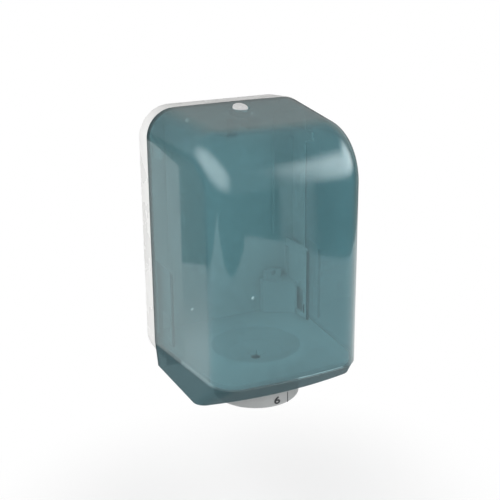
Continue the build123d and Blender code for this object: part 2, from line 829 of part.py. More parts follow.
def side_guide():
    """Right cheek beside the roll: a hollow peg, a window below it and a tail in the shelf."""
    rear = plate_panel + seat_gap
    floor = shelf_height + seat_gap
    cheek = Pos(-(rear + guide_depth) / 2, (floor + guide_top) / 2) * Rectangle(
        guide_depth - rear, guide_top - floor)
    front_top = cheek.vertices().group_by(Axis.Y)[-1].sort_by(Axis.X)[0]
    cheek = fillet(front_top, guide_corner_radius)
    window_middle = guide_peg_height - guide_window_drop - guide_window_height / 2
    window = Pos(-guide_peg_depth, window_middle) * RectangleRounded(
        guide_window_length, guide_window_height, guide_window_radius)
    tail = Pos(-guide_tail_front + guide_tail_length / 2,
               floor - (guide_tail_drop + shelf_wall) / 2) * Rectangle(
        guide_tail_length, guide_tail_drop + shelf_wall)
    blade = extrude(Plane.YZ * (cheek - window + tail), guide_wall)
    guide = Pos(guide_inner, 0, 0) * blade
    peg = rod_x(guide_peg_radius, guide_inner - guide_peg_length, guide_inner + guide_wall / 2,
                guide_peg_depth, guide_peg_height)
    return guide + peg - rod_x(guide_peg_bore, guide_inner - guide_peg_length - cut_overrun,
                               guide_inner + guide_wall + cut_overrun, guide_peg_depth,
                               guide_peg_height)


def guide_block():
    """Hollow corner block whose slanted face keeps the roll off the corner."""
    rear = plate_panel + seat_gap
    high = block_floor + block_high

    def plan(inset):
        return make_face(Polyline(
            (block_inner + inset, -rear), (block_inner + inset, -block_near_depth + inset),
            (block_outer - inset, -block_far_depth + inset), (block_outer - inset, -rear),
            close=True))

    body = Pos(0, 0, block_floor) * extrude(plan(0), block_high)
    slope = make_face(Polyline((-rear, high), (-block_far_depth - cut_overrun, high),
                               (-block_far_depth - cut_overrun, high - block_slope_drop),
                               close=True))
    body = body - extrude(Plane.YZ * slope, 2 * block_outer, both=True)
    front = [edge for edge in body.edges().filter_by(Axis.Z)
             if edge.center().Y < -rear - seat_gap]
    body = fillet(front, block_edge_round)
    hollow = Pos(0, 0, block_floor - cut_overrun) * extrude(
        plan(block_wall), block_high - block_wall - block_slope_drop + cut_overrun)
    body = body - hollow
    seat = plate_panel + pad_height
    crest = box_between(block_crest_inner, block_crest_outer, seat, block_crest_depth,
                        high - block_slope_drop, high + block_crest_high)
    rim = crest.edges().filter_by(Axis.X).group_by(Axis.Z)[-1].sort_by(Axis.Y)[0]
    crest = fillet(rim, block_edge_round)
    body = body + crest
    counter = rod_y(small_screw_head_radius + seat_gap, seat + block_wall,
                    block_crest_depth + cut_overrun, block_screw_place, block_screw_height)
    return body - counter - screw_hole(block_screw_place, seat - cut_overrun,
                                       block_crest_depth, block_screw_height)


def shelf_screws():
    head_depth = shelf_flange_depth + shelf_flange_wall
    return [wall_screw(x, head_depth, shelf_screw_height) for x in shelf_screw_xs]


def keeper_screws():
    head_depth = plate_panel + pad_height + keeper_wall
    length = head_depth - blind_depth - seat_gap
    return [wall_screw(keeper_screw_x, head_depth, height, length)
            for height in keeper_screw_heights]


def block_screw():
    head_depth = plate_panel + pad_height + block_wall
    length = head_depth - blind_depth - seat_gap
    return wall_screw(block_screw_place, head_depth, block_screw_height, length)


def save(name, part):
    """Write one node, a single solid or a group of separate solids."""
    if isinstance(part, list):
        part = Compound(children=part)
    export_step(part, f"parts/{name}.step")


def main():
    guide = side_guide()
    pin = hinge_pin()
    nodes = {
        "back_plate": back_plate(), "cover": cover(), "roll_shelf": roll_shelf(),
        "right_side_guide": guide, "left_side_guide": mirrored(guide),
        "guide_block": guide_block(), "outlet_bowl": outlet_bowl(),
        "nozzle_collar": nozzle_collar(), "nozzle_retaining_ring": nozzle_retaining_ring(),
        "tear_ring": tear_ring(), "lock_housing": lock_housing(),
        "lock_barrel": lock_barrel(), "lock_cam": lock_cam(), "cam_screw": cam_screw(),
        "lock_nut": lock_nut(), "latch_keeper": latch_keeper(),
        "hinge_pin_right": pin, "hinge_pin_left": mirrored(pin),
        "shelf_screws": shelf_screws(), "keeper_screws": keeper_screws(),
        "block_screw": block_screw()}
    for name, part in nodes.items():
        save(name, part)


main()
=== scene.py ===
"""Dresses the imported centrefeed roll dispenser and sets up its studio.

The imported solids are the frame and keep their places. This script gives each of them a
finish, puts cross-recessed screws in the place of the plain ones, prints the nozzle's
marks, and sets the floor, the lamps and the camera. Lengths are metres in the row frame:
the wall plane is y = 0, the front looks towards -Y and +Z is up.
"""

import logging
import math
from dataclasses import dataclass
from enum import Enum

import bmesh
import bpy
from mathutils import Matrix, Vector


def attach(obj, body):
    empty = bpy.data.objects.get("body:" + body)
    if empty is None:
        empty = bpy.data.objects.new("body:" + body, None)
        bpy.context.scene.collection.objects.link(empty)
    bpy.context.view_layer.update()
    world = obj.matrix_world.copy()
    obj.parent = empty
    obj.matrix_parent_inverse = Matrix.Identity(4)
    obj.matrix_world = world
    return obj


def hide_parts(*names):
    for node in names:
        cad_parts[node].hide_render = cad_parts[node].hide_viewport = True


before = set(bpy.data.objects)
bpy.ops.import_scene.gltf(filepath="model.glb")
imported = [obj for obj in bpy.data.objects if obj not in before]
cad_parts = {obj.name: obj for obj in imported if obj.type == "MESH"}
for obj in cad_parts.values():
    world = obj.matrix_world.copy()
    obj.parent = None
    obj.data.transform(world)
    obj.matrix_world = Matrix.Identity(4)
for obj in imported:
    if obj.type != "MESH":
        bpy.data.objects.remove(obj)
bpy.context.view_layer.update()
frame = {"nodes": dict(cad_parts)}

logging.basicConfig(level=logging.INFO, format="%(levelname)s %(message)s")
log = logging.getLogger("dispenser")

Colour = tuple[float, float, float]
Place = tuple[float, float, float]
Span = tuple[float, float]

OUTLET_DEPTH = 0.104
MERGE_DISTANCE = 1e-6
SHARP_ANGLE = math.radians(32)
WHITE_LIGHT = (1.0, 1.0, 1.0)


class Slot(Enum):
    """Material slots of the record; nothing here fills them."""

    GREY = "grey_plastic"
    STEEL = "steel"


class Body(Enum):
    """Bodies of the record that the new pieces ride on."""

    BASE = "base"
    NOZZLE = "nozzle"


class Finish(Enum):
    """Finishes that the pieces wear."""

    WHITE = "white"
    TINTED = "tinted"
    SHELF = "shelf"
    CHEEK = "cheek"
    GREY = "grey"
    TEAR = "tear"
    INK = "ink"
    NICKEL = "nickel"
    ZINC = "zinc"


def mesh_object(name: str, mesh: bmesh.types.BMesh, smooth: bool = True) -> bpy.types.Object:
    """Turns a finished bmesh into an object at the origin.

    Args:
        name: Name of the piece.
        mesh: The shape, already in its place. It is freed here.
        smooth: True for smooth shading with sharp edges kept.

    Returns:
        The new object, linked to the scene.
    """
    bmesh.ops.remove_doubles(mesh, verts=mesh.verts, dist=MERGE_DISTANCE)
    bmesh.ops.recalc_face_normals(mesh, faces=mesh.faces)
    data = bpy.data.meshes.new(name)
    mesh.to_mesh(data)
    mesh.free()
    if smooth:
        data.shade_smooth()
        data.set_sharp_from_angle(angle=SHARP_ANGLE)
    piece = bpy.data.objects.new(name, data)
    bpy.context.scene.collection.objects.link(piece)
    return piece


def lathe(profile: list[Span], steps: int) -> bmesh.types.BMesh:
    """Spins a profile of radius and height pairs about the Z axis.

    Args:
        profile: Points from the lower pole to the upper pole.
        steps: Number of steps in the full turn.

    Returns:
        The turned shape.
    """
    mesh = bmesh.new()
    points = [mesh.verts.new((radius, 0, height)) for radius, height in profile]
    edges = [mesh.edges.new(pair) for pair in zip(points, points[1:])]
    bmesh.ops.spin(mesh, geom=points + edges, cent=(0, 0, 0), axis=(0, 0, 1), dvec=(0, 0, 0),
                   angle=2 * math.pi, steps=steps, use_merge=True, use_duplicate=False)
    bmesh.ops.remove_doubles(mesh, verts=mesh.verts, dist=MERGE_DISTANCE)
    return mesh


class Sketch:
    """One node tree under construction, a material's, a lamp's, a world's or a group's."""

    def __init__(self, tree: bpy.types.NodeTree) -> None:
        """Starts on an empty tree."""
        self.tree = tree
        tree.nodes.clear()

    def add(self, kind: str, **settings: object) -> bpy.types.Node:
        """Adds a node.

        Args:
            kind: The node's type name, without its ShaderNode prefix.
            settings: Properties of the node to set.

        Returns:
            The new node.
        """
        prefix = "" if kind.startswith("NodeGroup") else "ShaderNode"
        node = self.tree.nodes.new(prefix + kind)
        for key, value in settings.items():
            setattr(node, key, value)
        return node

    def join(self, source: bpy.types.NodeSocket, target: bpy.types.NodeSocket) -> None:
        """Links one socket to another."""
        self.tree.links.new(source, target)

    def feed(self, target: bpy.types.NodeSocket, value: object) -> None:
        """Gives a socket a number, an opaque colour or another socket.

        Args:
            target: The socket to fill.
            value: The number, the colour or the socket.
        """
        if isinstance(value, bpy.types.NodeSocket):
            self.join(value, target)
        elif isinstance(value, tuple):
            target.default_value = (*value, 1.0)
        else:
            target.default_value = value

    def axes(self, source: str = "Object") -> bpy.types.bpy_prop_collection:
        """Splits a texture coordinate into its axes.

        Args:
            source: Name of the coordinate.

        Returns:
            The sockets X, Y and Z.
        """
        parts = self.add("SeparateXYZ")
        self.join(self.add("TexCoord").outputs[source], parts.inputs[0])
        return parts.outputs

    def noise(self, place: bpy.types.NodeSocket, scale: object, detail: float,
              rough: float) -> bpy.types.NodeSocket:
        """Adds a noise texture that reads a place.

        Args:
            place: The coordinates.
            scale: Cells per metre, a number or a socket.
            detail: Number of finer layers.
            rough: Strength of the finer layers.

        Returns:
            The texture's socket.
        """
        node = self.add("TexNoise")
        self.feed(node.inputs["Vector"], place)
        self.feed(node.inputs["Scale"], scale)
        self.feed(node.inputs["Detail"], detail)
        self.feed(node.inputs["Roughness"], rough)
        return node.outputs[0]

    def spread(self, value: bpy.types.NodeSocket, low: float, high: float,
               to_low: float = 0.0, to_high: float = 1.0) -> bpy.types.NodeSocket:
        """Maps a value smoothly from one range to another.

        Args:
            value: The value to map.
            low: Start of the range that is read.
            high: End of the range that is read.
            to_low: Result at the start.
            to_high: Result at the end.

        Returns:
            The mapped value's socket.
        """
        node = self.add("MapRange", interpolation_type="SMOOTHSTEP")
        self.join(value, node.inputs["Value"])
        for name, number in (("From Min", low), ("From Max", high),
                             ("To Min", to_low), ("To Max", to_high)):
            node.inputs[name].default_value = number
        return node.outputs["Result"]

    def maths(self, operation: str, *values: object) -> bpy.types.NodeSocket:
        """Adds a Math node on sockets or numbers.

        Args:
            operation: The node's operation.
            values: The sockets or numbers, in the node's order.

        Returns:
            The result's socket.
        """
        node = self.add("Math", operation=operation)
        for socket, value in zip(node.inputs, values):
            self.feed(socket, value)
        return node.outputs[0]

    def blend(self, factor: bpy.types.NodeSocket, first: object,
              second: object) -> bpy.types.NodeSocket:
        """Mixes two colours by a factor.

        Args:
            factor: The factor's socket.
            first: Colour or socket at factor 0.
            second: Colour or socket at factor 1.

        Returns:
            The mixed colour's socket.
        """
        node = self.add("Mix", data_type="RGBA")
        self.join(factor, node.inputs[0])
        self.feed(node.inputs[6], first)
        self.feed(node.inputs[7], second)
        return node.outputs[2]

    def layer(self, factor: bpy.types.NodeSocket, under: bpy.types.NodeSocket,
              over: bpy.types.NodeSocket) -> bpy.types.NodeSocket:
        """Mixes two shaders by a factor.

        Args:
            factor: The factor's socket.
            under: Shader at factor 0.
            over: Shader at factor 1.

        Returns:
            The mixed shader's socket.
        """
        node = self.add("MixShader")
        for socket, value in zip(node.inputs, (factor, under, over)):
            self.join(value, socket)
        return node.outputs[0]

    def bump(self, height: bpy.types.NodeSocket, strength: float,
             distance: float) -> bpy.types.NodeSocket:
        """Turns a height into a normal.

        Args:
            height: The height's socket.
            strength: Share of the effect.
            distance: Depth of the relief.

        Returns:
            The normal's socket.
        """
        node = self.add("Bump")
        self.feed(node.inputs["Height"], height)
        self.feed(node.inputs["Strength"], strength)
        self.feed(node.inputs["Distance"], distance)
        return node.outputs[0]


def start_material(name: str) -> tuple[bpy.types.Material, Sketch, bpy.types.NodeSocket]:
    """Starts a node material.

    Args:
        name: Name of the material.

    Returns:
        The material, its sketch and the socket that takes its surface.
    """
    material = bpy.data.materials.new(name)
    material.use_nodes = True
    sketch = Sketch(material.node_tree)
    return material, sketch, sketch.add("OutputMaterial").inputs["Surface"]


@dataclass
class Effects:
    """Shader node groups that several finishes share."""

    grain_scale: float = 900.0
    flow_scale: float = 22.0
    flow_range: Span = (0.3, 0.72)
    scratch_scale: float = 260.0
    scratch_turn: Place = (0.5, 0.35, 0.9)
    scratch_stretch: Place = (1.0, 0.05, 0.6)
    scratch_range: Span = (0.63, 0.72)
    smudge_scale: float = 14.0
    smudge_range: Span = (0.42, 0.7)
    dust_share: float = 0.3
    upward_range: Span = (0.35, 0.95)
    speck_scale: float = 420.0
    speck_range: Span = (0.42, 0.68)

    def __post_init__(self) -> None:
        """Builds every group once."""
        self.grain = self._grain()
        self.wear = self._wear()
        self.dust = self._dust()

    @staticmethod
    def _group(name: str, inputs: dict[str, float], outputs: list[str]
               ) -> tuple[bpy.types.NodeTree, Sketch, bpy.types.Node, bpy.types.Node]:
        """Makes an empty group with named sockets.

        Args:
            name: Name of the group.
            inputs: Input names with their default numbers.
            outputs: Output names.

        Returns:
            The group, its sketch, its input node and its output node.
        """
        tree = bpy.data.node_groups.new(name, "ShaderNodeTree")
        for label, number in inputs.items():
            socket = tree.interface.new_socket(label, in_out="INPUT",
                                               socket_type="NodeSocketFloat")
            socket.default_value = number
        for label in outputs:
            tree.interface.new_socket(label, in_out="OUTPUT", socket_type="NodeSocketFloat")
        sketch = Sketch(tree)
        return tree, sketch, sketch.add("NodeGroupInput"), sketch.add("NodeGroupOutput")

    def _grain(self) -> bpy.types.NodeTree:
        """Moulded surface: fine grain and broad flow mottle."""
        tree, sketch, given, result = self._group(
            "moulded_grain", {"Grain Scale": self.grain_scale, "Flow Scale": self.flow_scale},
            ["Grain", "Flow"])
        place = sketch.add("TexCoord").outputs["Object"]
        fine = sketch.noise(place, given.outputs["Grain Scale"], detail=3.0, rough=0.55)
        sketch.join(fine, result.inputs["Grain"])
        broad = sketch.noise(place, given.outputs["Flow Scale"], detail=2.0, rough=0.45)
        sketch.join(sketch.spread(broad, *self.flow_range), result.inputs["Flow"])
        return tree

    def _wear(self) -> bpy.types.NodeTree:
        """Hair scratches and wiping smudges of a surface that hands clean."""
        tree, sketch, given, result = self._group(
            "handling_wear",
            {"Scratch Scale": self.scratch_scale, "Smudge Scale": self.smudge_scale},
            ["Scratches", "Smudges"])
        place = sketch.add("TexCoord").outputs["Object"]
        turned = sketch.add("Mapping")
        turned.inputs["Rotation"].default_value = self.scratch_turn
        turned.inputs["Scale"].default_value = self.scratch_stretch
        sketch.join(place, turned.inputs["Vector"])
        lines = sketch.noise(turned.outputs[0], given.outputs["Scratch Scale"],
                             detail=4.0, rough=0.7)
        sketch.join(sketch.spread(lines, *self.scratch_range), result.inputs["Scratches"])
        clouds = sketch.noise(place, given.outputs["Smudge Scale"], detail=3.0, rough=0.6)
        sketch.join(sketch.spread(clouds, *self.smudge_range), result.inputs["Smudges"])
        return tree

    def _dust(self) -> bpy.types.NodeTree:
        """Dust that settles where a surface faces up."""
        tree, sketch, given, result = self._group(
            "settled_dust", {"Amount": self.dust_share}, ["Dust"])
        place = sketch.add("TexCoord").outputs["Object"]
        upward = sketch.spread(sketch.axes("Normal")["Z"], *self.upward_range)
        specks = sketch.noise(place, self.speck_scale, detail=3.0, rough=0.65)
        laid = sketch.maths("MULTIPLY", upward, sketch.spread(specks, *self.speck_range))
        sketch.join(sketch.maths("MULTIPLY", laid, given.outputs["Amount"]),
                    result.inputs["Dust"])
        return tree

    @staticmethod
    def place(sketch: Sketch, tree: bpy.types.NodeTree, **values: float) -> bpy.types.Node:
        """Places a group in a material.

        Args:
            sketch: The material's sketch.
            tree: The group.
            values: Input values, with underscores for the spaces of their names.

        Returns:
            The group node.
        """
        node = sketch.add("Group", node_tree=tree)
        for key, value in values.items():
            node.inputs[key.replace("_", " ")].default_value = value
        return node


@dataclass(frozen=True)
class MouldedFinish:
    """Opaque moulded plastic with flow marks, grain, wear and dust, and, where set, painted
    shade on a front edge and about the outlet.
    """

    name: str
    colour: Colour
    flow_colour: Colour
    roughness: float
    roughness_spread: float = 0.07
    refraction: float = 1.49
    grain_scale: float = 1100.0
    grain_depth: float = 0.00005
    grain_share: float = 0.5
    flow_scale: float = 26.0
    scratch_scale: float = 300.0
    scratch_roughness: float = 0.12
    smudge_scale: float = 18.0
    dust_colour: Colour = (0.62, 0.61, 0.58)
    dust_share: float = 0.2
    # The dish about the outlet takes a painted shade: a darker copy of the colour.
    dish_shade_radius: float = 0.0
    dish_shade_fade: float = 0.001
    dish_shade_share: float = 0.8
    # A front edge can take a painted shade: a darker copy of the colour.
    edge_shade_depth: float = 0.0
    edge_band: float = 0.003
    edge_fade: float = 0.0004
    edge_shade_share: float = 0.22

    def build(self, effects: Effects) -> bpy.types.Material:
        """Makes the material.

        Args:
            effects: The shared groups.

        Returns:
            The finished material.
        """
        material, sketch, surface = start_material(self.name)
        skin = sketch.add("BsdfPrincipled")
        skin.inputs["IOR"].default_value = self.refraction
        sketch.join(skin.outputs[0], surface)
        grain = effects.place(sketch, effects.grain, Grain_Scale=self.grain_scale,
                              Flow_Scale=self.flow_scale)
        wear = effects.place(sketch, effects.wear, Scratch_Scale=self.scratch_scale,
                             Smudge_Scale=self.smudge_scale)
        dust = effects.place(sketch, effects.dust, Amount=self.dust_share)
        colour = sketch.blend(grain.outputs["Flow"], self.colour, self.flow_colour)
        # Painted shade: the dish about the outlet is darkened.
        if self.dish_shade_radius:
            colour = self._painted_dish_shade(sketch, colour)
        # Painted shade: the front edge is darkened.
        if self.edge_shade_depth:
            colour = self._painted_edge_shade(sketch, colour)
        sketch.join(sketch.blend(dust.outputs["Dust"], colour, self.dust_colour),
                    skin.inputs["Base Color"])
        smudged = sketch.spread(wear.outputs["Smudges"], 0.0, 1.0,
                                self.roughness - self.roughness_spread,
                                self.roughness + self.roughness_spread)
        sketch.join(sketch.maths("MULTIPLY_ADD", wear.outputs["Scratches"],
                                 self.scratch_roughness, smudged), skin.inputs["Roughness"])
        sketch.join(sketch.bump(grain.outputs["Grain"], self.grain_share, self.grain_depth),
                    skin.inputs["Normal"])
        return material

    def _shaded(self, share: float) -> Colour:
        """Gives a share of the finish's colour, the darker copy that the painted shade uses."""
        return tuple(share * part for part in self.colour)

    def _painted_edge_shade(self, sketch: Sketch, colour: bpy.types.NodeSocket) -> bpy.types.NodeSocket:
        """Darkens the front edge with a painted shade, a dark line beside the cover.

        Args:
            sketch: The material's sketch.
            colour: The colour so far.

        Returns:
            The colour with the painted shade on the edge.
        """
        inner = self.edge_band - self.edge_shade_depth
        front = sketch.spread(sketch.axes()["Y"], inner, inner + self.edge_fade, 1.0, 0.0)
        return sketch.blend(front, colour, self._shaded(self.edge_shade_share))

    def _painted_dish_shade(self, sketch: Sketch, colour: bpy.types.NodeSocket) -> bpy.types.NodeSocket:
        """Darkens the colour about the outlet: painted shade in the recessed dish.

        Args:
            sketch: The material's sketch.
            colour: The colour so far.

        Returns:
            The colour with the duller patch.
        """
        centred = sketch.add("Mapping")
        centred.inputs["Location"].default_value = (0.0, OUTLET_DEPTH, 0.0)
        centred.inputs["Scale"].default_value = (1.0, 1.0, 0.0)
        sketch.join(sketch.add("TexCoord").outputs["Object"], centred.inputs["Vector"])
        away = sketch.add("VectorMath", operation="LENGTH")
        sketch.join(centred.outputs[0], away.inputs[0])
        inside = sketch.spread(away.outputs["Value"], self.dish_shade_radius - self.dish_shade_fade,
                               self.dish_shade_radius, 1.0, 0.0)
        return sketch.blend(inside, colour, self._shaded(self.dish_shade_share))


@dataclass(frozen=True)
class TintedFinish:
    """Clear moulded plastic with a smoky tint, and painted shade on its rear rim and lower
    skirt.
    """

    name: str = "tinted_cover_plastic"
    tint: Colour = (0.65, 0.80, 0.822)
    body_colour: Colour = (0.135, 0.275, 0.315)
    body_roughness: float = 0.45
    flow_scale: float = 16.0
    flow_share: float = 0.88
    smudge_scale: float = 11.0
    # The rear rim takes a painted shade: a dark colour that also makes it denser.
    rim_shade_colour: Colour = (0.016, 0.045, 0.052)
    rim_depth: float = -0.0352
    rim_fade: float = 0.0012
    rim_shade_share: float = 0.85
    # The lower skirt takes a painted shadow: a dark colour in place of the shade seen through
    # it.
    skirt_shade_colour: Colour = (0.05, 0.105, 0.12)
    skirt_height: float = -0.1445
    skirt_fade: float = 0.0015
    skirt_shade_share: float = 0.74
    skirt_dulled_share: float = 0.8
    haze_share: float = 0.2
    haze_spread: float = 0.03
    facing_blend: float = 0.5
    sidelong_haze_share: float = 0.46
    sidelong_colour: Colour = (0.16, 0.25, 0.255)
    sidelong_range: Span = (0.45, 0.66)
    gloss_roughness: Span = (0.04, 0.09)
    head_on_share: float = 0.054
    grazing_power: float = 3.7

    def build(self, effects: Effects) -> bpy.types.Material:
        """Makes the material.

        Args:
            effects: The shared groups.

        Returns:
            The finished material.
        """
        material, sketch, surface = start_material(self.name)
        smudges = effects.place(sketch, effects.wear,
                                Smudge_Scale=self.smudge_scale).outputs["Smudges"]
        layer_weight = sketch.add("LayerWeight")
        layer_weight.inputs["Blend"].default_value = self.facing_blend
        facing = layer_weight.outputs["Facing"]
        sidelong = sketch.spread(facing, *self.sidelong_range)
        place = sketch.axes()
        rim = sketch.spread(place["Y"], self.rim_depth - self.rim_fade,
                            self.rim_depth + self.rim_fade)
        skirt = sketch.spread(place["Z"], self.skirt_height - self.skirt_fade,
                              self.skirt_height + self.skirt_fade, 1.0, 0.0)
        clear = sketch.add("BsdfTransparent")
        sketch.feed(clear.inputs["Color"], self.tint)
        body = sketch.add("BsdfPrincipled")
        sketch.feed(body.inputs["Base Color"],
                    self._colour(sketch, effects, sidelong, rim, skirt))
        sketch.feed(body.inputs["Roughness"], self.body_roughness)
        sketch.feed(body.inputs["Specular IOR Level"], 0.0)
        milky = sketch.layer(self._density(sketch, smudges, sidelong, rim, skirt),
                             clear.outputs[0], body.outputs[0])
        gloss = sketch.add("BsdfGlossy")
        sketch.feed(gloss.inputs["Color"], WHITE_LIGHT)
        sketch.feed(gloss.inputs["Roughness"],
                    sketch.spread(smudges, 0.0, 1.0, *self.gloss_roughness))
        sketch.join(sketch.layer(self._mirror(sketch, facing, skirt), milky,
                                 gloss.outputs[0]), surface)
        return material

    def _colour(self, sketch: Sketch, effects: Effects, sidelong: bpy.types.NodeSocket,
                rim: bpy.types.NodeSocket, skirt: bpy.types.NodeSocket) -> bpy.types.NodeSocket:
        """Colours the milky part of the plastic.

        Args:
            sketch: The material's sketch.
            effects: The shared groups.
            sidelong: 1 where the view grazes the surface.
            rim: 1 on the rear rim, which takes a painted shade.
            skirt: 1 on the lower skirt, which takes a painted shadow.

        Returns:
            The colour's socket.
        """
        grain = effects.place(sketch, effects.grain, Flow_Scale=self.flow_scale)
        deeper = tuple(self.flow_share * part for part in self.body_colour)
        flow = sketch.blend(grain.outputs["Flow"], self.body_colour, deeper)
        flow = sketch.blend(sidelong, flow, self.sidelong_colour)
        # Painted shadow on the lower skirt.
        lower = sketch.blend(skirt, flow, self.skirt_shade_colour)
        # Painted shade on the rear rim.
        return sketch.blend(rim, lower, self.rim_shade_colour)

    def _density(self, sketch: Sketch, smudges: bpy.types.NodeSocket,
                 sidelong: bpy.types.NodeSocket, rim: bpy.types.NodeSocket,
                 skirt: bpy.types.NodeSocket) -> bpy.types.NodeSocket:
        """Sets how much of the plastic is milky, the rest being clear.

        Args:
            sketch: The material's sketch.
            smudges: 1 on the smudges.
            sidelong: 1 where the view grazes the surface.
            rim: 1 on the rear rim, which takes a painted shade.
            skirt: 1 on the lower skirt, which takes a painted shadow.

        Returns:
            The share's socket.
        """
        haze = sketch.spread(smudges, 0.0, 1.0, self.haze_share - self.haze_spread,
                             self.haze_share + self.haze_spread)
        veil = sketch.maths("MULTIPLY", sidelong, self.sidelong_haze_share - self.haze_share)
        # The painted shade on the rim and the skirt also makes them denser.
        dense = sketch.maths("MAXIMUM", sketch.maths("MULTIPLY", rim, self.rim_shade_share),
                             sketch.maths("MULTIPLY", skirt, self.skirt_shade_share))
        return sketch.maths("MAXIMUM", sketch.maths("ADD", haze, veil), dense)

    def _mirror(self, sketch: Sketch, facing: bpy.types.NodeSocket,
                skirt: bpy.types.NodeSocket) -> bpy.types.NodeSocket:
        """Sets how much the surface mirrors, more at a grazing view and less on the skirt.

        Args:
            sketch: The material's sketch.
            facing: 0 head on and 1 at a grazing view.
            skirt: 1 on the lower skirt.

        Returns:
            The share's socket.
        """
        rise = sketch.maths("POWER", facing, self.grazing_power)
        mirror = sketch.maths("MULTIPLY_ADD", rise, 1.0 - self.head_on_share,
                              self.head_on_share)
        dulled = sketch.maths("MULTIPLY", skirt, self.skirt_dulled_share)
        return sketch.maths("MULTIPLY", mirror, sketch.maths("SUBTRACT", 1.0, dulled))


@dataclass(frozen=True)
class MetalFinish:
    """Plated metal with fine lines and a little tarnish."""

    name: str
    colour: Colour
    tarnish: Colour
    roughness: float
    metal_share: float = 1.0
    polished_by: float = 0.06
    dulled_by: float = 0.08
    flow_scale: float = 60.0
    scratch_scale: float = 700.0
    smudge_scale: float = 70.0
    line_depth: float = 0.00002
    line_share: float = 0.4

    def build(self, effects: Effects) -> bpy.types.Material:
        """Makes the material.

        Args:
            effects: The shared groups.

        Returns:
            The finished material.
        """
        material, sketch, surface = start_material(self.name)
        skin = sketch.add("BsdfPrincipled")
        skin.inputs["Metallic"].default_value = self.metal_share
        sketch.join(skin.outputs[0], surface)
        grain = effects.place(sketch, effects.grain, Flow_Scale=self.flow_scale)
        wear = effects.place(sketch, effects.wear, Scratch_Scale=self.scratch_scale,
                             Smudge_Scale=self.smudge_scale)
        sketch.join(sketch.blend(grain.outputs["Flow"], self.colour, self.tarnish),
                    skin.inputs["Base Color"])
        sketch.join(sketch.spread(wear.outputs["Smudges"], 0.0, 1.0,
                                  self.roughness - self.polished_by,
                                  self.roughness + self.dulled_by), skin.inputs["Roughness"])
        sketch.join(sketch.bump(wear.outputs["Scratches"], self.line_share, self.line_depth),
                    skin.inputs["Normal"])
        return material


FINISHES = {
    Finish.WHITE: MouldedFinish("white_moulded_plastic", (0.83, 0.83, 0.82),
                                (0.815, 0.815, 0.80), 0.32, dust_share=0.1),
    Finish.TINTED: TintedFinish(),
    Finish.SHELF: MouldedFinish("pale_shelf_plastic", (0.84, 0.85, 0.845),
                                (0.81, 0.82, 0.815), 0.42, dish_shade_radius=0.058),
    Finish.CHEEK: MouldedFinish("pale_cheek_plastic", (0.84, 0.85, 0.845),
                                (0.81, 0.82, 0.815), 0.42, edge_shade_depth=0.0659),
    Finish.GREY: MouldedFinish("grey_nozzle_plastic", (0.475, 0.49, 0.49),
                               (0.45, 0.465, 0.465), 0.38),
    Finish.TEAR: MouldedFinish("dark_tear_plastic", (0.25, 0.27, 0.285),
                               (0.23, 0.25, 0.265), 0.4),
    Finish.INK: MouldedFinish("printed_mark_ink", (0.06, 0.065, 0.07),
                              (0.05, 0.055, 0.06), 0.5, dust_share=0.05),
    Finish.NICKEL: MetalFinish("satin_nickel_plating", (0.90, 0.905, 0.90),
                               (0.86, 0.865, 0.86), 0.36, metal_share=0.45),
    Finish.ZINC: MetalFinish("zinc_plated_steel", (0.64, 0.65, 0.66), (0.57, 0.58, 0.6), 0.34),
}

WORN = {
    "back_plate": Finish.WHITE,
    "cover": Finish.TINTED,
    "roll_shelf": Finish.SHELF,
    "right_side_guide": Finish.CHEEK,
    "left_side_guide": Finish.CHEEK,
    "guide_block": Finish.SHELF,
    "outlet_bowl": Finish.SHELF,
    "nozzle_collar": Finish.GREY,
    "nozzle_retaining_ring": Finish.ZINC,
    "tear_ring": Finish.TEAR,
    "lock_housing": Finish.NICKEL,
    "lock_barrel": Finish.NICKEL,
    "lock_cam": Finish.ZINC,
    "cam_screw": Finish.ZINC,
    "lock_nut": Finish.ZINC,
    "latch_keeper": Finish.ZINC,
    "hinge_pin_right": Finish.ZINC,
    "hinge_pin_left": Finish.ZINC,
    "shelf_screws": Finish.ZINC,
    "keeper_screws": Finish.ZINC,
    "block_screw": Finish.ZINC,
}


class Wardrobe:
    """Every finish, built once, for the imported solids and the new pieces."""

    def __init__(self) -> None:
        """Builds the materials."""
        effects = Effects()
        self.materials = {kind: finish.build(effects) for kind, finish in FINISHES.items()}

    def _paint(self, piece: bpy.types.Object, finish: Finish) -> None:
        """Makes a finish the only material of a piece."""
        piece.data.materials.clear()
        piece.data.materials.append(self.materials[finish])

    def dress_solids(self, nodes: dict[str, bpy.types.Object]) -> None:
        """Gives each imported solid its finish.

        Args:
            nodes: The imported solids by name.
        """
        for name, finish in WORN.items():
            self._paint(nodes[name], finish)
            log.info("%s wears %s", name, finish.value)

    def dress(self, piece: bpy.types.Object, finish: Finish, body: Body) -> None:
        """Gives a new piece its finish and its body.

        Args:
            piece: The new piece.
            finish: The finish that it wears.
            body: The body that carries it.
        """
        self._paint(piece, finish)
        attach(piece, body.value)
        log.info("%s rides on %s", piece.name, body.value)


